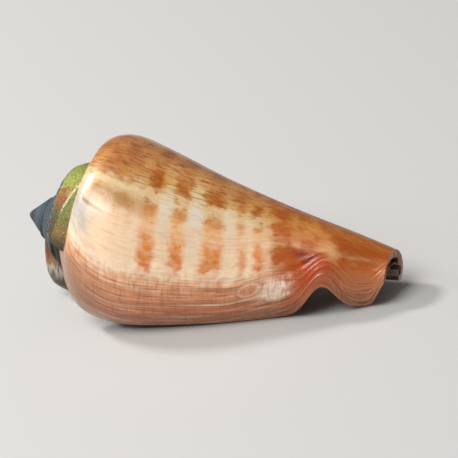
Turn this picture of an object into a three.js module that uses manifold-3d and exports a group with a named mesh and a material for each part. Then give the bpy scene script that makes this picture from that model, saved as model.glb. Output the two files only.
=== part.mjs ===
import * as THREE from 'three';
import Module from 'manifold-3d';

// Strawberry conch shell, in millimetres.
// The shell is one whorled wall that grew turn on turn about a straight axis.
// u is the distance along that axis, from 0 at the apex to LENGTH at the front tip.
// phi is the growth angle in degrees, 0 at the top of the back, growing towards the lip.

// Coiling
const LENGTH = 52.5;
const WHORL_GROWTH = 1.93;
const ADULT_RADIUS = 13.6;
const ADULT_ANGLE = -109;
const ADULT_SHARPNESS = 6;
const LIP_ANGLE = 148;
const BODY_START = LIP_ANGLE - 360;
const APEX_ANGLE = -990;
const WHORL_LEAN = 0.10;
const UNDERSIDE = { at: -174, half: 18, flattening: 0.075 };

// Head of the whorl, from the seam to the widest point, as shares of its radius
const HEAD_CONE = [[0.44, 0.48], [0.55, 0.62], [0.67, 0.76], [0.80, 0.90], [0.98, 1.0]];
const HEAD_SPIRE = [[0.44, 0.47], [0.475, 0.63], [0.515, 0.79], [0.65, 0.93], [0.95, 1.0]];
const HEAD_PLAIN = [[0.57, 0.50], [0.615, 0.64], [0.645, 0.80], [0.72, 0.94], [0.96, 1.0]];
const HEAD_LIP = [[0.20, 0.20], [0.30, 0.34], [0.55, 0.63], [0.77, 0.88], [1.05, 0.98]];
const HEAD_CALLUS = [[0.26, 0.33], [0.29, 0.57], [0.35, 0.83], [0.47, 1.0], [0.80, 1.05]];
const HEAD_RECESS = [[0.52, 0.40], [0.68, 0.52], [0.82, 0.70], [0.98, 0.86], [1.20, 0.96]];
const HEAD_TUCK = { at: -276, half: 30, by: [[-0.07, -0.04], [-0.06, 0], [-0.035, 0], [0, 0], [0, 0]] };

// Growth angles between which each shape of the head comes in or goes
const SHOULDER_IN = [-540, -440];
const PLAIN_IN = [-270, -60];
const RECESS_IN = [-272, -246];
const CALLUS_IN = [-188, -168];
const CALLUS_OUT = [-150, -100];
const CLIMB_START = [106, 100, 85, 60, 30];
const CLIMB_END = [144, 142, 140, 140, 140];

// Flank of the whorl, from the widest point to the front tip
const FLANK_AT = [0.13, 0.38, 0.64, 0.86, 1.0];
const FLANK_PLAIN = [0.82, 0.47, 0.25, 0.14, 0.10];
const FLANK_LIP = [0.985, 0.855, 0.665, 0.485, 0.33];
const FLANK_EASE = 1.05;
const LIP_LENGTH = 51.4;
const FRONT_DRAWN_BACK = [-120, 60];

// Lip margin, in degrees of growth drawn back from the lip angle
const NOTCH = { at: 43.8, half: 2.9, depth: 44 };
const LOBE = { at: 48.6, half: 1.8, depth: -4 };
const CANAL_MARGIN = { from: 49.2, to: 52.4, depth: 60 };
const SINUS = { from: 3.5, to: 9.5, depth: 46 };
const MARGIN_REACH = 130;

// Wall
const WALL = 1.15;
const LIP_WALL = 1.3;
const LIP_SEAM_WALL = 0.7;
const LIP_WALL_IN = [60, 130];
const LIP_WALL_FULL = [0.1, 0.45];
const RIM_ROUND = 0.25;
const RIM_REACH = 3;
const INNER_CALLUS = 0.28;
const INNER_CALLUS_AT_LIP = -0.1;

// Hollow, from deep in the last turn to past the lip, where it widens and leaves the shell.
// Back is where it starts on the lip wall, seam where it starts on the turn within, as shares of the profile.
const HOLLOW_START = -150;
const HOLLOW_PAST_LIP = 24;
const HOLLOW_AT_LIP = { before: 0.5, after: 2, wider: -0.6 };
const HOLLOW_LEAVES = [LIP_ANGLE + 2, LIP_ANGLE + 8];
const HOLLOW_BACK = { deep: 0.17, lip: 0.14, past: 0.42 };
const HOLLOW_SEAM = { deep: 0.46, lip: 0.20, past: 0.5, opens: 112 };
const HOLLOW_FRONT = { deep: 0.78, more: 0.22, full: 0 };
const HOLLOW_REACH = { deep: 0.6, more: 2.6, from: -40, to: 20 };

// Pillar that the whorls wind round, and the worn tip of the spire at its end, as [u, radius]
const PILLAR = [
  [-0.42, 0.15], [-0.05, 0.62], [0.5, 1.12], [1.2, 1.8], [2.2, 2.72], [3.4, 2.6], [5, 0.6],
  [LENGTH - 0.5, 0.6], [LENGTH + 0.1, 0.35],
];
const PILLAR_SIDES = 16;
const PILLAR_TURN = 5;

// Pose of the shell where it lies on its open side
const ROLL = -15;
const PITCH = 11.1;

// Mesh fineness
const BODY_STEP = 7.5;
const SPIRE_STEP = 12;
const WHORL_PIECE = 164;
const RIM_STOP = 2;
const CORE_GAP = 0.3;
const FOOT_GAP = 0.2;
const NORMAL_STEP = 0.01;
const PROFILE_POINTS = 26;
const HOLLOW_POINTS = 20;
const SPACING = [{ t: 0.31, share: 0.44 }, { t: 0.5, share: 0.76 }];

const wasm = await Module();
wasm.setup();

function smooth(from, to, x) {
  const t = Math.min(Math.max((x - from) / (to - from), 0), 1);
  return t * t * (3 - 2 * t);
}

function bell(x, at, half) {
  return Math.exp(-(((x - at) / half) ** 2));
}

function mix(a, b, share) {
  return a + (b - a) * share;
}

// Largest radius of the whorl: it grows by a fixed ratio a turn, then levels off in the adult.
// The underside of the last turn is a little flat, so that the shell rests beside its opening.
function whorlRadius(phi) {
  const free = WHORL_GROWTH ** ((phi - ADULT_ANGLE) / 360);
  const round = ADULT_RADIUS * (1 + free ** -ADULT_SHARPNESS) ** (-1 / ADULT_SHARPNESS);
  return round * (1 - UNDERSIDE.flattening * bell(phi, UNDERSIDE.at, UNDERSIDE.half));
}

// The early whorls make a plain cone, and the later ones have a shoulder.
// The lip climbs back over the spire, beside a thick callus with a recess between them.
function headPoints(phi) {
  const shouldered = smooth(...SHOULDER_IN, phi);
  const last = smooth(...PLAIN_IN, phi);
  const tuck = bell(phi, HEAD_TUCK.at, HEAD_TUCK.half);
  const callus = smooth(...CALLUS_IN, phi) * (1 - smooth(...CALLUS_OUT, phi));
  const recess = smooth(...RECESS_IN, phi) * (1 - smooth(...CALLUS_IN, phi));
  const radius = whorlRadius(phi);
  return HEAD_PLAIN.map((plain, i) => [0, 1].map((axis) => {
    const spire = mix(HEAD_CONE[i][axis], HEAD_SPIRE[i][axis], shouldered);
    const climb = smooth(CLIMB_START[i], CLIMB_END[i], phi);
    let share = mix(spire, plain[axis], last) + HEAD_TUCK.by[i][axis] * tuck;
    share += (HEAD_LIP[i][axis] - plain[axis]) * climb;
    share += (HEAD_CALLUS[i][axis] - plain[axis]) * callus;
    share += (HEAD_RECESS[i][axis] - plain[axis]) * recess;
    return share * radius;
  }));
}

function controlPoints(phi) {
  const head = headPoints(phi);
  const widest = head[head.length - 1];
  const grown = Math.min(Math.max((phi - BODY_START) / 360, 0), 1) ** FLANK_EASE;
  const end = mix(LENGTH, LIP_LENGTH, smooth(...FRONT_DRAWN_BACK, phi));
  const flank = FLANK_AT.map((at, i) => [
    mix(widest[0], end, at),
    mix(FLANK_PLAIN[i], FLANK_LIP[i], grown) * whorlRadius(phi),
  ]);
  return head.concat(flank);
}

// A smooth curve through the control points, share from 0 at the seam to 1 at the front tip
function profilePoint(points, share) {
  const last = points.length - 1;
  const x = Math.min(Math.max(share, 0), 1) * last;
  const i = Math.min(Math.floor(x), last - 1);
  const f = x - i;
  const b = points[i];
  const c = points[i + 1];
  const a = i > 0 ? points[i - 1] : [2 * b[0] - c[0], 2 * b[1] - c[1]];
  const d = i + 2 <= last ? points[i + 2] : [2 * c[0] - b[0], 2 * c[1] - b[1]];
  return [0, 1].map((axis) => 0.5 * (
    2 * b[axis]
    + (c[axis] - a[axis]) * f
    + (2 * a[axis] - 5 * b[axis] + 4 * c[axis] - d[axis]) * f * f
    + (3 * b[axis] - a[axis] - 3 * c[axis] + d[axis]) * f ** 3
  ));
}

// Shares of the profile from one to another, closest together at the notch and the front tip
function profileShares(from, to, count) {
  const [head, flank] = SPACING;
  return Array.from({ length: count + 1 }, (_, j) => {
    const t = j / count;
    if (t < head.t) return mix(from, mix(from, to, head.share), t / head.t);
    if (t < flank.t) {
      return mix(from, to, mix(head.share, flank.share, (t - head.t) / (flank.t - head.t)));
    }
    return mix(from, to, mix(flank.share, 1, (t - flank.t) / (1 - flank.t)));
  });
}

// The outward normal of the profile in its own half plane
function profileNormal(points, share) {
  const p = profilePoint(points, share - NORMAL_STEP);
  const q = profilePoint(points, share + NORMAL_STEP);
  const along = Math.hypot(q[0] - p[0], q[1] - p[1]);
  return [-(q[1] - p[1]) / along, (q[0] - p[0]) / along];
}

// How far the growth line at this point is drawn back, in degrees
function marginShift(phi, u) {
  const notch = NOTCH.depth * bell(u, NOTCH.at, NOTCH.half);
  const lobe = LOBE.depth * bell(u, LOBE.at, LOBE.half);
  const canal = CANAL_MARGIN.depth * smooth(CANAL_MARGIN.from, CANAL_MARGIN.to, u);
  const sinus = SINUS.depth * (1 - smooth(SINUS.from, SINUS.to, u));
  return -(notch + lobe + canal + sinus) * smooth(LIP_ANGLE - MARGIN_REACH, LIP_ANGLE, phi);
}

function place(u, radius, phi) {
  const angle = THREE.MathUtils.degToRad(phi);
  const lean = WHORL_LEAN * radius * Math.cos(angle) * (1 - u / LENGTH);
  return [u + lean, -radius * Math.sin(angle), radius * Math.cos(angle)];
}

// A closed body swept through a row of rings, each one a row of points out and a row back
function sweptBody(rings) {
  const count = rings[0].length;
  const vertices = rings.flat(2);
  const triangles = [];
  for (let i = 0; i + 1 < rings.length; i += 1) {
    for (let j = 0; j < count; j += 1) {
      const a = i * count + j;
      const b = i * count + (j + 1) % count;
      const c = a + count;
      const d = b + count;
      triangles.push(a, c, b, b, c, d);
    }
  }
  const end = (rings.length - 1) * count;
  for (let j = 0; j + 1 < count / 2; j += 1) {
    const k = count - 1 - j;
    triangles.push(j, j + 1, k, j + 1, k - 1, k);
    triangles.push(end + j, end + k, end + j + 1, end + j + 1, end + k, end + k - 1);
  }
  return new wasm.Manifold(new wasm.Mesh({
    numProp: 3,
    vertProperties: new Float32Array(vertices),
    triVerts: new Uint32Array(triangles),
  }));
}

// One slice of the solid whorl, out over the surface and back beside the axis
function whorlRing(phi) {
  const points = controlPoints(phi);
  const rim = RIM_ROUND * LIP_WALL * smooth(LIP_ANGLE - RIM_REACH, LIP_ANGLE, phi);
  const out = [];
  const back = [];
  for (const share of profileShares(0, 1, PROFILE_POINTS)) {
    const [u, radius] = profilePoint(points, share);
    const [nu, nr] = profileNormal(points, share);
    out.push(place(u - nu * rim, radius - nr * rim, phi + marginShift(phi, u)));
    back.unshift(place(u, CORE_GAP, phi));
  }
  return out.concat(back);
}

// The end face behind the lip margin drops straight in to this ring beside the axis
function lipFoot() {
  const points = controlPoints(LIP_ANGLE);
  const out = [];
  const back = [];
  for (const share of profileShares(0, 1, PROFILE_POINTS)) {
    const [u] = profilePoint(points, share);
    out.push(place(u, CORE_GAP + FOOT_GAP, LIP_ANGLE + marginShift(LIP_ANGLE, u)));
    back.unshift(place(u, CORE_GAP, LIP_ANGLE));
  }
  return out.concat(back);
}

function angles(from, to, step) {
  const count = Math.ceil((to - from) / step);
  return Array.from({ length: count + 1 }, (_, i) => mix(from, to, i / count));
}

// Back from the lip in pieces of less than half a turn, each one meeting the next face to face
function solidWhorls() {
  let whorls = null;
  for (let to = LIP_ANGLE; to > APEX_ANGLE; to -= WHORL_PIECE) {
    const from = to - WHORL_PIECE;
    const stops = angles(from, to, to < BODY_START ? SPIRE_STEP : BODY_STEP);
    if (to === LIP_ANGLE) stops.splice(-1, 0, LIP_ANGLE - RIM_STOP);
    const rings = stops.map(whorlRing);
    if (to === LIP_ANGLE) rings.push(lipFoot());
    const piece = sweptBody(rings);
    whorls = whorls ? whorls.add(piece) : piece;
  }
  return whorls;
}

function pillar() {
  return sweptBody(PILLAR.map(([u, radius]) => (
    Array.from({ length: PILLAR_SIDES }, (_, i) => place(u, radius, PILLAR_TURN - 360 / PILLAR_SIDES * i))
  )));
}

function solidShell() {
  return solidWhorls().add(pillar());
}

// One slice of the hollow, out along the inside of the lip wall, back along the turn within
function hollowRing(phi) {
  const outer = controlPoints(phi);
  const nearLip = smooth(...LIP_WALL_IN, phi);
  const { before, after, wider } = HOLLOW_AT_LIP;
  const past = Math.min(Math.max((phi - LIP_ANGLE + before) / (before + after), 0), 1);
  const callus = mix(INNER_CALLUS, INNER_CALLUS_AT_LIP, nearLip);
  const frontShare = HOLLOW_FRONT.deep + HOLLOW_FRONT.more * smooth(HOLLOW_START, HOLLOW_FRONT.full, phi);
  const reach = HOLLOW_REACH.deep + HOLLOW_REACH.more * smooth(HOLLOW_REACH.from, HOLLOW_REACH.to, phi);
  const leave = smooth(...HOLLOW_LEAVES, phi);
  const backShare = mix(mix(HOLLOW_BACK.deep, HOLLOW_BACK.lip, nearLip), HOLLOW_BACK.past, leave);
  const opened = smooth(HOLLOW_SEAM.opens, LIP_ANGLE, phi);
  const seamShare = mix(mix(HOLLOW_SEAM.deep, HOLLOW_SEAM.lip, opened), HOLLOW_SEAM.past, leave);
  const out = [];
  const back = [];
  for (const share of profileShares(backShare, frontShare, HOLLOW_POINTS)) {
    const [u, radius] = profilePoint(outer, share);
    const [nu, nr] = profileNormal(outer, share);
    const thick = mix(WALL, mix(LIP_SEAM_WALL, LIP_WALL, smooth(...LIP_WALL_FULL, share)), nearLip);
    const wall = mix(thick, wider, past);
    out.push([u - nu * wall, radius - nr * wall, phi + marginShift(phi, u)]);
  }
  for (const share of profileShares(seamShare, frontShare, HOLLOW_POINTS)) {
    const [guess] = profilePoint(controlPoints(phi - 360), share);
    const grown = phi + marginShift(phi, guess);
    const inner = controlPoints(grown - 360);
    const [u, radius] = profilePoint(inner, share);
    const [nu, nr] = profileNormal(inner, share);
    back.unshift([u + nu * callus, radius + nr * callus, grown]);
  }
  for (const row of [out, back]) {
    const [u, radius, grown] = row === out ? row[HOLLOW_POINTS] : row[0];
    const beyond = [u + reach, radius, grown];
    if (row === out) row.push(beyond);
    else row.unshift(beyond);
  }
  return out.concat(back).map(([u, radius, grown]) => place(u, radius, grown));
}

function hollow() {
  const stops = angles(HOLLOW_START, LIP_ANGLE - HOLLOW_AT_LIP.before, BODY_STEP);
  stops.push(...angles(LIP_ANGLE + HOLLOW_AT_LIP.after, LIP_ANGLE + HOLLOW_PAST_LIP, BODY_STEP));
  return sweptBody(stops.map(hollowRing));
}

function toGeometry(body) {
  const mesh = body.getMesh();
  const geometry = new THREE.BufferGeometry();
  geometry.setAttribute('position', new THREE.BufferAttribute(mesh.vertProperties, 3));
  geometry.setIndex(new THREE.BufferAttribute(mesh.triVerts, 1));
  return geometry;
}

// Lay the shell on its open side, with its lowest point at z = 0 and its middle over the origin
function restOnGround(geometry) {
  geometry.rotateX(THREE.MathUtils.degToRad(ROLL));
  geometry.rotateY(THREE.MathUtils.degToRad(PITCH));
  geometry.computeBoundingBox();
  const { min, max } = geometry.boundingBox;
  geometry.translate(-(min.x + max.x) / 2, -(min.y + max.y) / 2, -min.z);
  return geometry;
}

const shell = new THREE.Mesh(
  restOnGround(toGeometry(solidShell().subtract(hollow()))),
  new THREE.MeshStandardMaterial({ color: '#d98a5e', roughness: 0.35 }),
);
shell.name = 'shell';

const part = new THREE.Group();
part.name = 'strawberry_conch_shell';
part.add(shell);

export default part;
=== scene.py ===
import math

import bpy
import numpy as np
from mathutils import Matrix, Vector


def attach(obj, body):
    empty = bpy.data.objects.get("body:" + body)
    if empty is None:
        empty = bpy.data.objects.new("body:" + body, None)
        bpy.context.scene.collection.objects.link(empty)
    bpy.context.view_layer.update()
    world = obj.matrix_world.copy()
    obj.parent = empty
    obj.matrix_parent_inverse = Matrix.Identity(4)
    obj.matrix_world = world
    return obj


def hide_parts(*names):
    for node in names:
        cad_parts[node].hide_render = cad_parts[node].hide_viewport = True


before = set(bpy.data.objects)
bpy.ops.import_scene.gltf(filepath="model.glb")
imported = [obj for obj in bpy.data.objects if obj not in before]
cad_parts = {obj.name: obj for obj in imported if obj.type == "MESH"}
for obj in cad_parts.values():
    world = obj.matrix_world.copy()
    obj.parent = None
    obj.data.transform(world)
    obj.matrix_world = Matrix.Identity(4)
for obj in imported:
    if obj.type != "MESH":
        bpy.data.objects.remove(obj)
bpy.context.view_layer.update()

# The whorls
# A conch is one wall of aragonite, laid down growth line by growth line as it winds about a straight axis.
# Sizes here are in mm. u runs along the axis from the apex, and phi is the growth angle in degrees,
# 0 at the top of the back and growing towards the lip.
LENGTH = 52.5
WHORL_GROWTH = 1.93
ADULT_RADIUS = 13.6
ADULT_ANGLE = -109
ADULT_SHARPNESS = 6
LIP_ANGLE = 148
BODY_START = LIP_ANGLE - 360
APEX_ANGLE = -990
WHORL_LEAN = 0.10
UNDERSIDE = {"at": -174, "half": 18, "flattening": 0.075}

# Head of the whorl, from the seam to the widest point, as shares of its radius
HEAD_CONE = np.array([[0.44, 0.48], [0.55, 0.62], [0.67, 0.76], [0.80, 0.90], [0.98, 1.0]])
HEAD_SPIRE = np.array([[0.44, 0.47], [0.475, 0.63], [0.515, 0.79], [0.65, 0.93], [0.95, 1.0]])
HEAD_PLAIN = np.array([[0.57, 0.50], [0.615, 0.64], [0.645, 0.80], [0.72, 0.94], [0.96, 1.0]])
HEAD_LIP = np.array([[0.20, 0.20], [0.30, 0.34], [0.55, 0.63], [0.77, 0.88], [1.05, 0.98]])
HEAD_CALLUS = np.array([[0.26, 0.33], [0.29, 0.57], [0.35, 0.83], [0.47, 1.0], [0.80, 1.05]])
HEAD_RECESS = np.array([[0.52, 0.40], [0.68, 0.52], [0.82, 0.70], [0.98, 0.86], [1.20, 0.96]])
HEAD_TUCK = {"at": -276, "half": 30}
HEAD_TUCK_BY = np.array([[-0.07, -0.04], [-0.06, 0], [-0.035, 0], [0, 0], [0, 0]])

# Growth angles between which each shape of the head comes in or goes
SHOULDER_IN = (-540, -440)
PLAIN_IN = (-270, -60)
RECESS_IN = (-272, -246)
CALLUS_IN = (-188, -168)
CALLUS_OUT = (-150, -100)
CLIMB_START = np.array([106, 100, 85, 60, 30])
CLIMB_END = np.array([144, 142, 140, 140, 140])

# Flank of the whorl, from the widest point to the front tip
FLANK_AT = np.array([0.13, 0.38, 0.64, 0.86, 1.0])
FLANK_PLAIN = np.array([0.82, 0.47, 0.25, 0.14, 0.10])
FLANK_LIP = np.array([0.985, 0.855, 0.665, 0.485, 0.33])
FLANK_EASE = 1.05
LIP_LENGTH = 51.4
FRONT_DRAWN_BACK = (-120, 60)
PROFILE_SPANS = 9

# Lip margin, in degrees of growth drawn back from the lip angle
NOTCH = {"at": 43.8, "half": 2.9, "depth": 44}
LOBE = {"at": 48.6, "half": 1.8, "depth": -4}
CANAL_MARGIN = {"start": 49.2, "end": 52.4, "depth": 60}
SINUS = {"start": 3.5, "end": 9.5, "depth": 46}
MARGIN_REACH = 130

# How the growth lines lag at the shoulder and in front, and how the spiral bands drift
LAST_WHORL_IN = (-260, -160)
SHOULDER_LAG = {"by": 26, "comes_in": (-20, 110), "at": 9, "reach": 4, "flat_before": -2}
FRONT_LAG = {"by": 14, "comes_in": (30, 40)}
MARGIN_GIVES_WAY = (95, 135)
BAND_DRIFT = {"a_degree": 0.00115, "until": 85, "over": 200}

# Relief, in mm: ridges with one random height every so many degrees, and a groove with a welt beside the lip
RELIEF_GROWS = (20, 140)
FINE_RIDGES = {"early": 0.030, "late": 0.055, "spacing": 3.1, "seed": 3}
COARSE_RIDGES = {"early": 0.035, "late": 0.05, "spacing": 9.0, "seed": 5, "slant": 6}
GROOVE = {"at": 127, "half": 2.2, "depth": 0.11}
WELT = {"at": 130.5, "half": 2.0, "height": 0.07}
SMOOTH_SEAM = (0.02, 0.2)
SMOOTHER_FRONT = {"by": 0.5, "comes_in": (0.8, 1)}
RIDGE_VALUES = 2048

# Mesh fineness
WHORL_PIECE = 163
BODY_STEP = 2.0
LIP_STEP = 1.0
LIP_STEP_FROM = 80
SPIRE_STEP = 3.0
PROFILE_POINTS = 150
PROFILE_ARC = [0, 0.22, 0.32, 0.52, 0.72, 0.89, 1]
PROFILE_SHARE = [0, 4 / 9, 5 / 9, 6 / 9, 7 / 9, 8 / 9, 1]
NORMAL_STEP = 0.01
CORE_GAP = 0.3
FOOT_GAP = 0.2
RIM_ROUND = 0.55
RIM_REACH = 2.6
RIM_STOPS = np.array([0.86, 0.7, 0.5, 0.3, 0.13, 0.03, 0])


def smooth(start, end, x):
    t = np.clip((x - start) / (end - start), 0, 1)
    return t * t * (3 - 2 * t)


def bell(x, at, half):
    return np.exp(-(((x - at) / half) ** 2))


def mix(a, b, share):
    return a + (b - a) * share


def whorl_radius(phi):
    """It grows by a fixed ratio a turn, then levels off in the adult, whose underside is a little flat."""
    free = WHORL_GROWTH ** ((phi - ADULT_ANGLE) / 360)
    grown = ADULT_RADIUS * (1 + free ** -ADULT_SHARPNESS) ** (-1 / ADULT_SHARPNESS)
    return grown * (1 - UNDERSIDE["flattening"] * bell(phi, UNDERSIDE["at"], UNDERSIDE["half"]))


def control_points(phi):
    """The ten points of the profile at each growth angle, from the seam to the front tip."""
    phi = np.asarray(phi, float)[..., None]
    climb = smooth(CLIMB_START, CLIMB_END, phi)[..., None]
    callus = (smooth(*CALLUS_IN, phi) * (1 - smooth(*CALLUS_OUT, phi)))[..., None]
    recess = (smooth(*RECESS_IN, phi) * (1 - smooth(*CALLUS_IN, phi)))[..., None]
    radius = whorl_radius(phi)
    head = mix(HEAD_CONE, HEAD_SPIRE, smooth(*SHOULDER_IN, phi)[..., None])
    head = mix(head, HEAD_PLAIN, smooth(*PLAIN_IN, phi)[..., None])
    head = head + HEAD_TUCK_BY * bell(phi, HEAD_TUCK["at"], HEAD_TUCK["half"])[..., None]
    head = head + (HEAD_LIP - HEAD_PLAIN) * climb
    head = head + (HEAD_CALLUS - HEAD_PLAIN) * callus + (HEAD_RECESS - HEAD_PLAIN) * recess
    head = head * radius[..., None]
    grown = np.clip((phi - BODY_START) / 360, 0, 1) ** FLANK_EASE
    end = mix(LENGTH, LIP_LENGTH, smooth(*FRONT_DRAWN_BACK, phi))
    flank_u = mix(head[..., 4, :1], end, FLANK_AT)
    flank_radius = mix(FLANK_PLAIN, FLANK_LIP, grown) * radius
    return np.concatenate([head, np.stack([flank_u, flank_radius], -1)], -2)


def profile(phi, share):
    """Where a share of the profile lies, as (u, radius), on a smooth curve through its points."""
    phi, share = np.broadcast_arrays(np.asarray(phi, float), share)
    points = control_points(phi)
    before = 2 * points[..., :1, :] - points[..., 1:2, :]
    after = 2 * points[..., -1:, :] - points[..., -2:-1, :]
    points = np.concatenate([before, points, after], -2)
    x = np.clip(share, 0, 1) * PROFILE_SPANS
    i = np.minimum(x.astype(int), PROFILE_SPANS - 1)
    f = (x - i)[..., None]
    a, b, c, d = (np.take_along_axis(points, (i + k)[..., None, None], -2)[..., 0, :] for k in range(4))
    curve = 2 * b + (c - a) * f + (2 * a - 5 * b + 4 * c - d) * f**2 + (3 * b - a - 3 * c + d) * f**3
    return curve / 2


def profile_normal(phi, share):
    along = profile(phi, share + NORMAL_STEP) - profile(phi, share - NORMAL_STEP)
    along = along / np.linalg.norm(along, axis=-1, keepdims=True)
    return np.stack([-along[..., 1], along[..., 0]], -1)


def margin_shift(phi, u):
    """How far the growth line is drawn back from its angle at the notch, the lobe and the canal."""
    notch = NOTCH["depth"] * bell(u, NOTCH["at"], NOTCH["half"])
    lobe = LOBE["depth"] * bell(u, LOBE["at"], LOBE["half"])
    canal = CANAL_MARGIN["depth"] * smooth(CANAL_MARGIN["start"], CANAL_MARGIN["end"], u)
    sinus = SINUS["depth"] * (1 - smooth(SINUS["start"], SINUS["end"], u))
    return -(notch + lobe + canal + sinus) * smooth(LIP_ANGLE - MARGIN_REACH, LIP_ANGLE, phi)


def growth_place(phi, u, share):
    """Where a point lies in the pattern: the age of its growth line in degrees, its place along the spiral
    bands in mm, and its share of the profile. Growth lines lag at the shoulder and towards the front,
    and the bands drift forward as the whorl widens."""
    below_shoulder = np.maximum(u - SHOULDER_LAG["at"], SHOULDER_LAG["flat_before"])
    shoulder = SHOULDER_LAG["by"] * smooth(*SHOULDER_LAG["comes_in"], phi)
    shoulder = shoulder * np.exp(-below_shoulder / SHOULDER_LAG["reach"])
    front = FRONT_LAG["by"] * smooth(*FRONT_LAG["comes_in"], u)
    margin = margin_shift(phi, u) * (1 - smooth(*MARGIN_GIVES_WAY, phi))
    age = phi + smooth(*LAST_WHORL_IN, phi) * (shoulder + front + margin)
    drift = BAND_DRIFT["a_degree"] * np.clip(BAND_DRIFT["until"] - phi, 0, BAND_DRIFT["over"])
    return np.stack(np.broadcast_arrays(age, u / (1 - drift), share), -1)


def place(u, radius, phi):
    angle = np.radians(phi)
    lean = WHORL_LEAN * radius * np.cos(angle) * (1 - u / LENGTH)
    return np.stack(np.broadcast_arrays(u + lean, -radius * np.sin(angle), radius * np.cos(angle)), -1)


def profile_shares(start, end, count):
    """Evenly spaced points of the profile, by length along it."""
    from_arc, to_arc = np.interp([start, end], PROFILE_SHARE, PROFILE_ARC)
    return np.interp(np.linspace(from_arc, to_arc, count + 1), PROFILE_ARC, PROFILE_SHARE)


def growth_noise(phi, spacing, seed):
    """A smooth random height between -1 and 1 for each growth angle, one new value every spacing degrees."""
    values = np.random.default_rng(seed).uniform(-1, 1, RIDGE_VALUES)
    x = (phi - APEX_ANGLE) / spacing
    i = np.floor(x).astype(int)
    f = x - i
    f = f * f * (3 - 2 * f)
    return mix(values[i % RIDGE_VALUES], values[(i + 1) % RIDGE_VALUES], f)


def relief(phi, share):
    """Growth ridges, strongest in the last quarter turn, and a shallow groove that runs beside the lip."""
    late = smooth(*RELIEF_GROWS, phi)
    fine, coarse = FINE_RIDGES, COARSE_RIDGES
    height = mix(fine["early"], fine["late"], late) * growth_noise(phi, fine["spacing"], fine["seed"])
    height = height + mix(coarse["early"], coarse["late"], late) * growth_noise(
        phi + coarse["slant"] * share, coarse["spacing"], coarse["seed"])
    height = height + late * (WELT["height"] * bell(phi, WELT["at"], WELT["half"])
                              - GROOVE["depth"] * bell(phi, GROOVE["at"], GROOVE["half"]))
    front = 1 - SMOOTHER_FRONT["by"] * smooth(*SMOOTHER_FRONT["comes_in"], share)
    return height * smooth(*SMOOTH_SEAM, share) * front


def swept_body(name, rings, growth, side):
    """A closed mesh through a row of rings, each one a row of points out and a row back. For the colours it
    keeps the growth place of each point, and side: 0 outside, 1 under the lip wall, 2 on the turn within."""
    count = rings.shape[1]
    index = np.arange(rings.shape[0] * count).reshape(-1, count)
    near, far = index[:-1], index[1:]
    sides = np.stack([near, far, np.roll(far, -1, 1), np.roll(near, -1, 1)], -1).reshape(-1, 4)
    j = np.arange(count // 2 - 1)
    k = count - 1 - j
    first = np.stack([j, j + 1, k - 1, k], -1)
    last = np.stack([j, k, k - 1, j + 1], -1) + index[-1, 0]
    faces = np.concatenate([sides, first, last])
    mesh = bpy.data.meshes.new(name)
    mesh.from_pydata(rings.reshape(-1, 3).tolist(), [], faces.tolist())
    marks = mesh.attributes.new("growth", 'FLOAT_VECTOR', 'CORNER')
    marks.data.foreach_set("vector", growth.reshape(-1, 3)[faces.ravel()].astype(np.float32).ravel())
    face_side = np.full(len(faces), side[0], np.float32)
    face_side[:len(sides)] = np.tile(side, len(near))
    mesh.attributes.new("side", 'FLOAT', 'FACE').data.foreach_set("value", face_side)
    body = bpy.data.objects.new(name, mesh)
    bpy.context.scene.collection.objects.link(body)
    return body


def whorl_rings(stops):
    """Slices of the solid whorl at these growth angles, out over the surface and back beside the axis."""
    share = profile_shares(0, 1, PROFILE_POINTS)[None, :]
    phi = np.asarray(stops, float)[:, None]
    curve = profile(phi, share)
    normal = profile_normal(phi, share)
    u = curve[..., 0]
    near_rim = np.clip((phi - LIP_ANGLE + RIM_REACH) / RIM_REACH, 0, 1)
    rim = RIM_ROUND * (1 - np.sqrt(1 - near_rim**2))
    curve = curve + normal * (relief(phi, share) - rim)[..., None]
    grown = phi + margin_shift(phi, u)
    out = place(curve[..., 0], curve[..., 1], grown)
    back = place(u, CORE_GAP, phi)
    growth = growth_place(phi, u, share)
    return np.concatenate([out, back[:, ::-1]], 1), np.concatenate([growth, growth[:, ::-1]], 1)


def lip_foot():
    """The ring beside the axis that the end face behind the lip drops in to."""
    share = profile_shares(0, 1, PROFILE_POINTS)
    u = profile(LIP_ANGLE, share)[:, 0]
    out = place(u, CORE_GAP + FOOT_GAP, LIP_ANGLE + margin_shift(LIP_ANGLE, u))
    back = place(u, CORE_GAP, LIP_ANGLE)
    growth = growth_place(LIP_ANGLE, u, share)
    return np.concatenate([out, back[::-1]])[None], np.concatenate([growth, growth[::-1]])[None]


def angles(start, end, step):
    return np.linspace(start, end, math.ceil((end - start) / step) + 1)


def whorl_pieces():
    """The whorls back from the lip, in pieces of less than half a turn that meet face to face."""
    pieces = []
    end = LIP_ANGLE
    while end > APEX_ANGLE:
        start = end - WHORL_PIECE
        if end == LIP_ANGLE:
            stops = np.concatenate([
                angles(start, LIP_STEP_FROM, BODY_STEP),
                angles(LIP_STEP_FROM, end - RIM_REACH, LIP_STEP)[1:],
                LIP_ANGLE - RIM_REACH * RIM_STOPS,
            ])
        else:
            stops = angles(start, end, SPIRE_STEP if end < BODY_START else BODY_STEP)
        rings, growth = whorl_rings(stops)
        if end == LIP_ANGLE:
            foot, foot_growth = lip_foot()
            rings, growth = np.concatenate([rings, foot]), np.concatenate([growth, foot_growth])
        pieces.append(swept_body(f"whorl_{len(pieces)}", rings, growth, np.zeros(rings.shape[1])))
        end = start
    return pieces


# The pillar
# The whorls wind round a solid pillar, which the worn tip of the spire shows at its end.
# It is the same aragonite and has grown together with them.
PILLAR = np.array([
    [-0.42, 0.12], [-0.32, 0.32], [-0.05, 0.62], [0.5, 1.12], [1.2, 1.8], [2.2, 2.72], [3.4, 2.6], [5, 0.6],
    [52, 0.6], [52.6, 0.35],
])
PILLAR_SIDES = 64
PILLAR_TURN = 5
PILLAR_SHARE = 0.3


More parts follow.
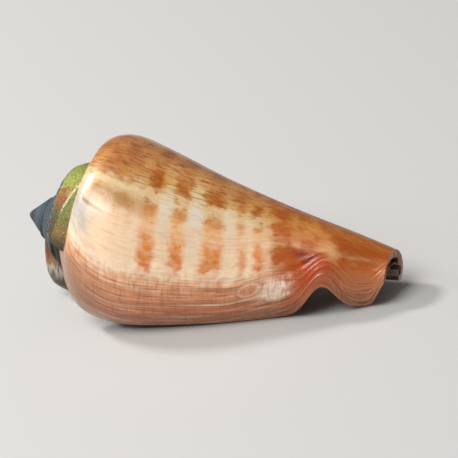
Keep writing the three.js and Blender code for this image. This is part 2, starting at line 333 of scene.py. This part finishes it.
def pillar_body():
    phi = PILLAR_TURN - np.arange(PILLAR_SIDES) * 360 / PILLAR_SIDES
    u, radius = PILLAR[:, :1], PILLAR[:, 1:]
    growth = np.stack(np.broadcast_arrays(APEX_ANGLE + 0 * phi, u, PILLAR_SHARE), -1)
    return swept_body("pillar", place(u, radius, phi), growth, np.zeros(PILLAR_SIDES))


# The hollow
# The living space winds up from the long opening, between the last wall and the turn within it.
# The wall is about a millimetre thick, and the turn within is coated with a thin glaze.
WALL = 1.15
LIP_WALL = 1.3
LIP_SEAM_WALL = 0.7
LIP_WALL_IN = (60, 130)
LIP_WALL_FULL = (0.1, 0.45)
INNER_CALLUS = 0.28
INNER_CALLUS_AT_LIP = -0.1
HOLLOW_STEP = 2.5
HOLLOW_POINTS = 90

# It widens at the lip and then leaves the shell. Back is where it starts on the lip wall, and seam
# where it starts on the turn within, as shares of the profile.
HOLLOW_START = -150
HOLLOW_PAST_LIP = 24
HOLLOW_AT_LIP = {"before": 0.5, "after": 2, "wider": -0.6}
HOLLOW_LEAVES = (LIP_ANGLE + 2, LIP_ANGLE + 8)
HOLLOW_BACK = {"deep": 0.17, "lip": 0.14, "past": 0.42}
HOLLOW_SEAM = {"deep": 0.46, "lip": 0.20, "past": 0.5, "opens": 112}
HOLLOW_FRONT = {"deep": 0.78, "more": 0.22, "full": 0}
HOLLOW_REACH = {"deep": 0.6, "more": 2.6, "comes_in": (-40, 20)}


def hollow_rings(stops):
    """Slices of the hollow, out along the inside of the lip wall and back along the turn within."""
    phi = np.asarray(stops, float)[:, None]
    near_lip = smooth(*LIP_WALL_IN, phi)
    before, after = HOLLOW_AT_LIP["before"], HOLLOW_AT_LIP["after"]
    past_lip = np.clip((phi - LIP_ANGLE + before) / (before + after), 0, 1)
    callus = mix(INNER_CALLUS, INNER_CALLUS_AT_LIP, near_lip)
    whole_front = smooth(HOLLOW_START, HOLLOW_FRONT["full"], phi)
    front_share = HOLLOW_FRONT["deep"] + HOLLOW_FRONT["more"] * whole_front
    reach = HOLLOW_REACH["deep"] + HOLLOW_REACH["more"] * smooth(*HOLLOW_REACH["comes_in"], phi)
    leave = smooth(*HOLLOW_LEAVES, phi)
    back_share = mix(mix(HOLLOW_BACK["deep"], HOLLOW_BACK["lip"], near_lip), HOLLOW_BACK["past"], leave)
    opened = smooth(HOLLOW_SEAM["opens"], LIP_ANGLE, phi)
    seam_share = mix(mix(HOLLOW_SEAM["deep"], HOLLOW_SEAM["lip"], opened), HOLLOW_SEAM["past"], leave)
    step = profile_shares(0, 1, HOLLOW_POINTS)

    share = back_share + (front_share - back_share) * step
    curve = profile(phi, share)
    thick = mix(WALL, mix(LIP_SEAM_WALL, LIP_WALL, smooth(*LIP_WALL_FULL, share)), near_lip)
    curve_out = curve - profile_normal(phi, share) * mix(thick, HOLLOW_AT_LIP["wider"], past_lip)[..., None]
    grown_out = phi + margin_shift(phi, curve[..., 0])

    share_in = seam_share + (front_share - seam_share) * step
    grown_in = phi + margin_shift(phi, profile(phi - 360, share_in)[..., 0])
    curve_in = profile(grown_in - 360, share_in)
    curve_in = curve_in + profile_normal(grown_in - 360, share_in) * callus[..., None]

    rows = []
    for curve, grown, shares in ((curve_out, grown_out, share), (curve_in, grown_in, share_in)):
        curve = np.concatenate([curve, curve[:, -1:] + np.stack([reach, 0 * reach], -1)], 1)
        grown = np.concatenate([grown, grown[:, -1:]], 1)
        shares = np.concatenate([shares, shares[:, -1:]], 1)
        growth = np.stack([grown, curve[..., 0], shares], -1)
        rows.append((place(curve[..., 0], curve[..., 1], grown), growth))
    (out, out_growth), (back, back_growth) = rows
    return np.concatenate([out, back[:, ::-1]], 1), np.concatenate([out_growth, back_growth[:, ::-1]], 1)


def hollow_body():
    stops = np.concatenate([
        angles(HOLLOW_START, LIP_ANGLE - HOLLOW_AT_LIP["before"], HOLLOW_STEP),
        angles(LIP_ANGLE + HOLLOW_AT_LIP["after"], LIP_ANGLE + HOLLOW_PAST_LIP, HOLLOW_STEP),
    ])
    rings, growth = hollow_rings(stops)
    return swept_body("hollow", rings, growth, np.repeat([1, 2], rings.shape[1] // 2))


# The shell
# Whorls and pillar are one piece, and the hollow is open to the outside along the lip.
# It lies on its open side, as an empty shell does.
ROLL = -15
PITCH = 11.1
SHELL_AT = (-25.616, 0.382, 13.009)
SHARP_ANGLE = 42


def joined(whole, others, cutter):
    """One mesh from the pieces, less the cutter. The pieces themselves are removed."""
    for other in others + [cutter]:
        step = whole.modifiers.new(other.name, 'BOOLEAN')
        step.operation = 'DIFFERENCE' if other is cutter else 'UNION'
        step.solver = 'MANIFOLD'
        step.object = other
    seen = whole.evaluated_get(bpy.context.evaluated_depsgraph_get())
    mesh = bpy.data.meshes.new_from_object(seen)
    for piece in [whole, cutter] + others:
        bpy.data.objects.remove(piece)
    return mesh


whorls = whorl_pieces()
shell_mesh = joined(whorls[0], whorls[1:] + [pillar_body()], hollow_body())
rest_pose = Matrix.Rotation(math.radians(PITCH), 4, 'Y') @ Matrix.Rotation(math.radians(ROLL), 4, 'X')
shell_mesh.transform(Matrix.Scale(0.001, 4) @ Matrix.Translation(SHELL_AT) @ rest_pose)
shell_mesh.shade_smooth()
shell_mesh.set_sharp_from_angle(angle=math.radians(SHARP_ANGLE))
shell_mesh.name = "shell_surface"
shell = bpy.data.objects.new("shell_surface", shell_mesh)
bpy.context.scene.collection.objects.link(shell)

# The surface is porcelain-like aragonite under a thin brown skin: glossy, with fine ridges where it grew.
# The worn spire is dull slate with a green film, and the glaze about the opening is smooth.
# Real growth lines lie about 0.1 mm apart. They are drawn two to four times as coarse, so that they show.
shell_finish = bpy.data.materials.new("glossy_aragonite")
shell_finish.use_nodes = True
tree = shell_finish.node_tree
MM_PER_DEGREE = 0.237
AGES = (-212, 148)
SPIRE_AGES = (-560, -250)
BANDS = (0, 56)
JITTER = (26, 2.0, 0)
EASED = {"interpolation_type": 'SMOOTHSTEP'}
INNER_BROWN = "#3c2018"


def linear(colour):
    """An sRGB hex value, or a plain grey share, as the linear colour that a socket takes."""
    if not isinstance(colour, str):
        return (colour, colour, colour, 1)
    shares = [int(colour[i:i + 2], 16) / 255 for i in (1, 3, 5)]
    return tuple(v / 12.92 if v <= 0.04045 else ((v + 0.055) / 1.055) ** 2.4 for v in shares) + (1,)


def node(kind, *inputs, stops=None, span=(0, 1), **settings):
    """Adds a node and gives its first output. Inputs go to its sockets in order, as values or links, and
    None leaves one alone. Stops of a colour ramp are placed on the span of values that enter it."""
    new = tree.nodes.new("ShaderNode" + kind)
    for name, value in settings.items():
        setattr(new, name, value)
    for socket, value in zip([socket for socket in new.inputs if socket.enabled], inputs):
        if isinstance(value, bpy.types.NodeSocket):
            tree.links.new(value, socket)
        elif value is not None:
            socket.default_value = linear(value) if isinstance(value, str) else value
    if stops:
        elements = new.color_ramp.elements
        for at, (value, colour) in enumerate(stops):
            spot = (value - span[0]) / (span[1] - span[0])
            element = elements[at] if at < 2 else elements.new(spot)
            element.position, element.color = spot, linear(colour)
    return next(socket for socket in new.outputs if socket.enabled)


def layer(base, colour, *amounts):
    """A coat of colour over what is there, as strong as all these amounts multiplied together."""
    strength = amounts[0]
    for amount in amounts[1:]:
        strength = node("Math", strength, amount, operation='MULTIPLY')
    return node("Mix", strength, base, colour, data_type='RGBA')


def within(value, at, half):
    """1 at this value, falling softly to 0 at half the width away."""
    away = node("Math", node("Math", value, at, operation='SUBTRACT'), operation='ABSOLUTE')
    return node("MapRange", away, 0, half, 1, 0, **EASED)


def grain(across, along, detail=3, at=0):
    """Random patches, so many to the mm across the growth lines and along them."""
    stretched = node("VectorMath", pattern, (across, along, 1), (0, 0, at), operation='MULTIPLY_ADD')
    return node("TexNoise", stretched, 1, detail, 0.6)


# The growth place of each point, exact and roughened by a few degrees and millimetres
place_in_growth = node("Attribute", attribute_name="growth").node.outputs["Vector"]
side = node("Attribute", attribute_name="side").node.outputs["Fac"]
pattern = node("VectorMath", place_in_growth, (MM_PER_DEGREE, 1, 0), operation='MULTIPLY')
jitter = node("TexNoise", node("VectorMath", pattern, (0.7, 0.7, 1), operation='MULTIPLY'), 1, 3, 0.5)
jitter = node("VectorMath", jitter.node.outputs["Color"], (0.5, 0.5, 0.5), operation='SUBTRACT')
jitter = node("VectorMath", jitter, JITTER, place_in_growth, operation='MULTIPLY_ADD')
rough_age = node("SeparateXYZ", jitter)
rough_along = rough_age.node.outputs[1]
age = node("SeparateXYZ", place_in_growth)
along = age.node.outputs[1]
share = age.node.outputs[2]
aged = node("MapRange", age, *AGES)
rough_aged = node("MapRange", rough_age, *AGES)
banded = node("MapRange", rough_along, *BANDS)

# Ground colour by age: cream below, ochre over the back, cream again, and rose towards the lip.
# The front third is orange brown, crossed by one pale line.
ground = node("ValToRGB", rough_aged, span=AGES, stops=[
    (-212, "#c8ad8a"), (-150, "#dcc8a6"), (-90, "#d0b080"), (-50, "#c08e50"), (0, "#ba7c3e"), (25, "#c58c50"),
    (37, "#c8944f"), (52, "#d6bd92"), (60, "#dcb88e"), (74, "#eac5a0"), (96, "#f4d2ae"), (100, "#fae0be"),
    (107, "#f0b488"), (115, "#de9062"), (128, "#cc8056"), (138, "#b06a44"), (148, "#b47f5a"),
])
patch_strength = node("ValToRGB", aged, span=AGES, stops=[
    (-100, 0.0), (-40, 0.6), (30, 0.6), (44, 0.1), (148, 0.0),
])
patches = node("MapRange", grain(0.14, 0.2, 3, 80), 0.42, 0.62, **EASED)
ground = layer(ground, "#9a5420", patches, patch_strength)
front = node("ValToRGB", aged, span=AGES, stops=[
    (-212, "#b98a58"), (-60, "#a8642a"), (0, "#9a5214"), (22, "#a25a16"), (34, "#aa641c"), (45, "#bc7a34"),
    (62, "#be8048"), (71, "#c88856"), (75, "#dcb07c"), (78, "#dcb07c"), (81, "#bc5a10"), (92, "#b84c04"),
    (110, "#c05c1c"), (125, "#b25010"), (140, "#a85620"), (148, "#9c5c34"),
])
colour = layer(ground, front, node("MapRange", rough_along, 34.5, 39.5, **EASED))

in_front = node("MapRange", rough_along, 35, 39, **EASED)
colour = layer(colour, "#94420a", in_front, node("MapRange", grain(0.45, 0.5, 3, 91), 0.46, 0.62, 0, 0.55))
colour = layer(colour, "#cc9458", in_front, node("MapRange", grain(0.4, 0.6, 3, 95), 0.5, 0.66, 0, 0.45))

# A brown patch on the shoulder
shoulder = (
    node("MapRange", rough_age, -10, 12, **EASED),
    node("MapRange", node("Mix", 0.4, age, rough_age), 44, 49, 1, 0),
    within(rough_along, 13.5, 7.5),
    node("MapRange", grain(0.5, 0.4, 3, 99), 0.35, 0.6, 0.3, 0.85),
)
colour = layer(colour, "#99562c", *shoulder)

# Spiral rows of blotches: brown over the back, orange down the side, faint in the rose,
# with pale rows between them. Where the glare lies across the side the pale rows are strongest and cool grey
# white, partly a painted reflection.
band = node("ValToRGB", banded, span=BANDS, stops=[
    (18.8, 0.0), (19.8, 1.0), (20.8, 1.0), (21.8, 0.0), (22.9, 0.0), (23.8, 1.0), (24.9, 1.0), (25.8, 0.0),
    (27.2, 0.0), (28.2, 1.0), (29.8, 1.0), (30.8, 0.0), (32.0, 0.0), (32.7, 0.7), (33.1, 0.7), (33.8, 0.0),
    (34.2, 0.0), (34.9, 1.0), (35.6, 1.0), (36.3, 0.0), (36.8, 0.0), (37.6, 1.0), (39.6, 1.0), (40.5, 0.0),
])
band_strength = node("ValToRGB", rough_aged, span=AGES, stops=[
    (-212, 0.2), (-60, 0.6), (-4, 0.9), (7, 0.8), (12, 0.2), (17, 0.5), (23, 0.15), (30, 0.7), (35, 1.0),
    (43, 1.0), (47, 0.1), (52, 0.3), (56, 0.95), (64, 0.95), (69, 0.5), (74, 0.55), (79, 1.0), (94, 1.0),
    (98, 0.35), (120, 0.25), (148, 0.1),
])
band_colour = node("ValToRGB", aged, span=AGES, stops=[
    (-212, "#b98850"), (-20, "#8a4a10"), (44, "#9c500c"), (58, "#b56c22"), (67, "#dc9a5c"), (78, "#d68036"),
    (96, "#d2742a"), (110, "#c46c38"),
])
# Pale rows between the bands: the shell's own pattern, and partly a painted reflection where they are
# strongest
pale_rows_and_glare = (
    node("ValToRGB", rough_aged, span=AGES, stops=[
        (12, 0.0), (24, 0.25), (36, 0.65), (48, 0.95), (62, 0.9), (76, 0.5), (98, 0.0),
    ]),
    within(rough_along, 26, 9.5),
    node("MapRange", band, 0.0, 0.5, 1, 0),
    node("MapRange", grain(0.5, 0.25, 2, 4), 0.3, 0.55, **EASED),
)
# Cool grey white past the middle of the side: painted reflection of the glare there
pale = layer("#d0bd8e", "#cdc2ae", node("MapRange", rough_age, 38, 50, **EASED))
colour = layer(colour, pale, *pale_rows_and_glare)
broken = node("MapRange", grain(1.1, 0.8, 3, 33), 0.3, 0.6, 0.55, 1)
band_colour = layer(band_colour, "#a64e08", node("MapRange", along, 36, 37.5, **EASED))
colour = layer(colour, band_colour, band, band_strength, broken)

# A cool grey white patch below the shoulder, a painted reflection of the glare there, and an ochre streak
# that runs back from it, with a dark hook under it
# Painted reflection: the cool grey white of the glare below the shoulder
colour = layer(colour, "#9c9a95", within(rough_along, 10.4, 3.6), within(rough_age, 80, 28), 0.9)
streak = (
    node("MapRange", along, 10.6, 12.4, **EASED),
    node("MapRange", rough_along, 17, 21.5, 1, 0),
    within(node("Mix", 0.3, age, rough_age), 58.5, 10.5),
)
colour = layer(colour, "#a06c24", *streak, 0.9)
hook = (
    within(age, 71, 2.2),
    node("MapRange", along, 10.2, 10.8, **EASED),
    node("MapRange", along, 11.5, 15.5, 1, 0),
)
colour = layer(colour, "#76502c", *hook, 0.75)

# Growth lines: short dark dashes over the back, and fine dark and pale lines elsewhere
dash_strength = node("ValToRGB", aged, span=AGES, stops=[
    (-120, 0.1), (-40, 0.75), (20, 0.85), (42, 0.6), (50, 0.15), (148, 0.1),
])
colour = layer(colour, "#7c3f1c", node("MapRange", grain(2.4, 0.42, 4, 9), 0.5, 0.64, **EASED), dash_strength)
late = node("MapRange", age, 94, 112, **EASED)
fine_lines = grain(3.0, 0.11, 3, 15)
pale_lines = grain(2.6, 0.09, 3, 21)
spiral_lines = grain(0.3, 2.4, 2, 66)
colour = layer(colour, "#7e4430", late, node("MapRange", fine_lines, 0.46, 0.68, 0, 0.7))
colour = layer(colour, "#f0ccae", late, node("MapRange", pale_lines, 0.5, 0.7, 0, 0.65))
colour = layer(colour, "#8c4e34", late, node("MapRange", spiral_lines, 0.5, 0.7, 0, 0.45))
colour = layer(colour, "#b58a5a", within(age, 74, 26), node("MapRange", fine_lines, 0.52, 0.72, 0, 0.4))

# A worn patch before the notch, and one pale line beside the lip
worn = node("Math", within(rough_along, 37.6, 3.2), within(rough_age, 121, 18), operation='MULTIPLY')
worn = node("MapRange", worn, 0, 0.6)
colour = layer(colour, "#f6dcc2", worn, node("MapRange", spiral_lines, 0.35, 0.6, 1, 0.5))
pale_line = (
    within(age, 123.5, 1.4),
    within(along, 31, 9),
    node("MapRange", grain(0.4, 0.3, 2, 30), 0.35, 0.6, 0.2, 0.9),
)
colour = layer(colour, "#f0d4ba", *pale_line)

# A faint round scar, as a worn-off barnacle leaves: a dark ring and a pale one within it
from_scar = node("VectorMath", pattern, (27.3, 34.2, 0), operation='DISTANCE').node.outputs["Value"]
dark_ring = node("MapRange", fine_lines, 0.35, 0.6, 0.6, 0.05)
pale_ring = node("MapRange", fine_lines, 0.35, 0.6, 0.1, 0.45)
colour = layer(colour, "#9c6448", within(from_scar, 1.7, 0.34), dark_ring)
colour = layer(colour, "#ecd0b6", within(from_scar, 1.3, 0.4), pale_ring)

# Burnt orange about the notch, brown at the tip, and grey brown at the corner of the lip, partly the shell's
# own colour and partly painted shade
colour = layer(colour, "#a83c00", within(rough_along, 42.4, 4.6), within(rough_age, 112, 76))
colour = layer(colour, "#7a2800", within(rough_along, 41.2, 2.6), within(rough_age, 86, 13))
tip = node("MapRange", rough_along, 44.5, 46.5, **EASED)
colour = layer(colour, "#9a4808", tip, within(rough_age, 62, 44))
colour = layer(colour, "#d09a68", within(rough_along, 44.4, 1.6), within(rough_age, 78, 26), 0.75)
colour = layer(colour, "#b0683a", tip, within(rough_age, 106, 26), 0.8)
# The corner of the lip is darkened grey brown: partly the shell's own colour, partly painted shade
lip_corner_brown_and_shade = (node("MapRange", rough_age, 98, 126, **EASED), node("MapRange", rough_along, 8, 16, 1, 0))
colour = layer(colour, "#957054", *lip_corner_brown_and_shade)

# The spire: an olive film on the last turn but one, a rusty patch, a pale seam line, and a bare slate tip
# with chalky patches
spire_grain = grain(2.2, 2.2, 4, 44)
turn = node("MapRange", rough_age, *SPIRE_AGES)
film = node("ValToRGB", turn, span=SPIRE_AGES, stops=[
    (-560, "#3f3d38"), (-460, "#6a5a45"), (-400, "#74664a"), (-368, "#686236"), (-345, "#7c8436"),
    (-330, "#8f9242"), (-316, "#949446"), (-312, "#92501e"), (-299, "#7e441c"), (-294, "#4c4426"),
    (-276, "#40321f"), (-266, "#241a12"),
])
seam_line = node("Math", node("Math", age, 0.00267, 0.858, operation='MULTIPLY_ADD'), share, operation='ADD')
beside_seam = node("ValToRGB", turn, span=SPIRE_AGES, stops=[
    (-345, "#7e8434"), (-300, "#6e7430"), (-286, "#66602c"), (-276, "#7a5a34"), (-264, "#5c4028"),
])
film = layer(film, beside_seam, node("MapRange", seam_line, 0.43, 0.44, **EASED))
film = layer(film, "#d0c296", within(seam_line, 0.43, 0.012), node("MapRange", age, -300, -288, 1, 0))
film = layer(film, "#46401e", node("MapRange", spire_grain, 0.46, 0.62, 0, 0.75))
film = layer(film, "#a8a85c", node("MapRange", grain(3.0, 3.0, 3, 48), 0.55, 0.7, 0, 0.6))
early = node("MapRange", age, -214, -206, 1, 0)
colour = layer(colour, INNER_BROWN, early)
colour = layer(colour, film, early, node("MapRange", share, 0.46, 0.5, 1, 0))
slate = layer("#454f56", "#191d20", node("MapRange", spire_grain, 0.4, 0.65, 0, 0.9))
chalky = (
    node("MapRange", grain(0.22, 0.5, 3, 37), 0.42, 0.64, 0, 0.8),
    within(age, -480, 230),
    node("MapRange", age, -345, -375),
)
slate = layer(slate, "#746b60", *chalky)
chalky_rim = (within(share, 0.262, 0.03), node("MapRange", grain(0.8, 0.8, 3, 41), 0.42, 0.6, 0, 0.8))
slate = layer(slate, "#857c6e", *chalky_rim)
near_axis = node("Math", early, node("MapRange", share, 0.265, 0.285, 1, 0), operation='MULTIPLY')
bare = node("Math", node("MapRange", rough_age, -560, -500, 1, 0), near_axis, operation='MAXIMUM')
colour = layer(colour, slate, bare)

# Near black in the slit beside the callus, on an early turn of the spire, and inside the head of the lip:
# painted shade of these deep gaps, beside the callus partly also the shell's own dark stain
gap_shade_and_stain = 0.0
for turns, shares in (
    (within(age, -236, 42), node("MapRange", share, 0.38, 0.44, 1, 0)),
    (within(age, -592, 30), node("MapRange", share, 0.36, 0.4, **EASED)),
    (node("MapRange", age, 150, 162, **EASED), node("MapRange", share, 0.22, 0.25, 1, 0)),
):
    gap_mask = node("Math", turns, shares, operation='MULTIPLY')
    gap_shade_and_stain = node("Math", gap_shade_and_stain, gap_mask, operation='MAXIMUM')
# Painted shade: the deep gaps are painted near black
colour = layer(colour, "#1e1510", gap_shade_and_stain)

# The callus beside the head of the lip: rusty at the top, grey white in the middle, dark below
down = node("Math", grain(0.9, 0.9, 3, 12), 0.12, -0.06, operation='MULTIPLY_ADD')
down = node("Math", share, down, operation='ADD')
callus_colour = node("ValToRGB", node("MapRange", down, 0, 0.4), span=(0, 0.4), stops=[
    (0.02, "#5c3a22"), (0.09, "#7a4420"), (0.15, "#86603c"), (0.18, "#a89c8c"), (0.24, "#8a7d6e"),
    (0.29, "#43362a"), (0.35, "#2a1f17"),
])
callus_colour = layer(callus_colour, "#35261a", node("MapRange", grain(1.4, 1.4, 3, 23), 0.48, 0.6, 0, 0.75))
callus = (
    node("MapRange", share, 0.36, 0.42, 1, 0),
    node("MapRange", age, -213, -208),
    node("MapRange", age, -160, -118, 1, 0),
)
colour = layer(colour, callus_colour, *callus)

# Inside: orange red under the lip wall, dark brown on the turn within, and painted shade in the canal, whose
# deep inside is painted dusky grey brown
inner_lip = (node("MapRange", age, -197, -190, 1, 0), node("MapRange", share, 0.5, 0.54, **EASED))
colour = layer(colour, INNER_BROWN, *inner_lip)
lining = node("ValToRGB", aged, span=AGES, stops=[
    (-150, "#b2452a"), (60, "#c65a34"), (138, "#dc8a5c"), (148, "#ead0b4"),
])
inside = node("Math", side, 0.5, operation='GREATER_THAN')
colour = layer(colour, lining, inside)
colour = layer(colour, INNER_BROWN, node("Math", side, 1.5, operation='GREATER_THAN'))
# Painted shade: the deep inside of the canal is dusky grey brown
colour = layer(colour, "#6c594c", inside, node("MapRange", along, 46, 49, **EASED))

# Gloss: the index is under aragonite's own 1.6, matched to the weak shine of the skin over it,
# and the worn spire and the painted shade in the gaps are matt
spiral_ridges = node("Math", grain(0.5, 2.4, 2, 60), 0.4, operation='MULTIPLY')
ridges = node("Math", grain(4.5, 0.15, 3, 52), spiral_ridges, operation='ADD')
bump = node("Bump", 0.35, 0.00012, None, ridges)
matt = node("Math", early, gap_shade_and_stain, operation='MAXIMUM')
roughness = node("Mix", matt, node("MapRange", grain(1.5, 0.5, 3, 70), 0.3, 0.7, 0.22, 0.36), 0.75)
surface = tree.nodes["Principled BSDF"]
surface.inputs["IOR"].default_value = 1.4
surface.inputs["Coat Roughness"].default_value = 0.1
tree.links.new(colour, surface.inputs["Base Color"])
tree.links.new(bump, surface.inputs["Normal"])
tree.links.new(roughness, surface.inputs["Roughness"])
tree.links.new(node("MapRange", matt, 0, 1, 0.25, 0.04), surface.inputs["Coat Weight"])
shell_mesh.materials.clear()
shell_mesh.materials.append(shell_finish)

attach(shell, "root")
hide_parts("shell")

# The floor
# A plain pale surface under the shell.
# It is matt paint, and lies a tenth of a millimetre below, clear of the shell's lowest ridge.
FLOOR_SIZE = 6
FLOOR_BELOW = 0.0001

bpy.ops.mesh.primitive_plane_add(size=FLOOR_SIZE, location=(0, 0, -FLOOR_BELOW))
floor = bpy.context.object
floor.name = "floor"
floor_paint = bpy.data.materials.new("floor_paint")
floor_paint.use_nodes = True
floor_paint.node_tree.nodes["Principled BSDF"].inputs["Base Color"].default_value = linear("#b4b1ad")
floor_paint.node_tree.nodes["Principled BSDF"].inputs["Roughness"].default_value = 0.8
floor.data.materials.append(floor_paint)

# The camera
# It sees the shell at the photograph's angle: the shell rests pitched down at the front and rolled on its
# open side here, so the camera stands higher and is turned about its own axis.
VIEW_AZIMUTH = 23.5
VIEW_ELEVATION = 26.8
VIEW_ROLL = 12.3
VIEW_DISTANCE = 450
PHOTO_PIXELS = 458
PIXELS_PER_MM = 7.34
AXIS_MIDDLE_PIXEL = (213.5, 242.5)


def direction(azimuth, elevation):
    """From the shell towards something seen at these angles, with azimuth 0 in front."""
    a, e = math.radians(azimuth), math.radians(elevation)
    return Vector((math.sin(a) * math.cos(e), -math.cos(a) * math.cos(e), math.sin(e)))


toward = direction(VIEW_AZIMUTH, VIEW_ELEVATION)
level = Vector((0, 0, 1)).cross(toward).normalized()
right = Matrix.Rotation(math.radians(-VIEW_ROLL), 3, toward) @ level
above = toward.cross(right)
axis_middle = Matrix.Translation(SHELL_AT) @ rest_pose @ Vector((LENGTH / 2, 0, 0))
aim = axis_middle + right * ((PHOTO_PIXELS / 2 - AXIS_MIDDLE_PIXEL[0]) / PIXELS_PER_MM)
aim = aim - above * ((PHOTO_PIXELS / 2 - AXIS_MIDDLE_PIXEL[1]) / PIXELS_PER_MM)

lens = bpy.data.cameras.new("camera")
lens.sensor_width = 36
lens.lens = lens.sensor_width * PIXELS_PER_MM * VIEW_DISTANCE / PHOTO_PIXELS
lens.clip_start = 0.01
camera = bpy.data.objects.new("camera", lens)
camera.matrix_world = Matrix.Translation((aim + toward * VIEW_DISTANCE) / 1000) @ Matrix(
    (right, above, toward)).transposed().to_4x4()
bpy.context.scene.collection.objects.link(camera)
bpy.context.scene.camera = camera

# The light
# Soft studio light: a broad key from the front left, a small bright lamp and a cool panel at the left, and a
# cool panel overhead at the right. Colours are shown as they are, without a film look.
COOL = (0.75, 0.88, 1)
ROOM_COLOUR = (0.95, 0.97, 1, 1)
ROOM_STRENGTH = 0.21


def soft_light(name, size, power, azimuth, elevation, distance, colour=(1, 1, 1)):
    lamp = bpy.data.lights.new(name, 'AREA')
    lamp.size = size
    lamp.energy = power
    lamp.color = colour
    holder = bpy.data.objects.new(name, lamp)
    away = direction(azimuth, elevation)
    turned = away.to_track_quat('Z', 'Y').to_matrix().to_4x4()
    holder.matrix_world = Matrix.Translation(away * distance) @ turned
    bpy.context.scene.collection.objects.link(holder)


soft_light("key_light", 0.4, 4.8, -24, 58, 0.7)
soft_light("left_lamp", 0.1, 2.4, -100, 48, 0.6)
soft_light("left_panel", 0.22, 0.75, -68, 34, 0.6, COOL)
soft_light("right_panel", 0.3, 0.12, 54, 60, 0.7, COOL)
room = bpy.data.worlds.new("room")
room.use_nodes = True
room.node_tree.nodes["Background"].inputs["Color"].default_value = ROOM_COLOUR
room.node_tree.nodes["Background"].inputs["Strength"].default_value = ROOM_STRENGTH
bpy.context.scene.world = room
bpy.context.scene.view_settings.view_transform = 'Standard'
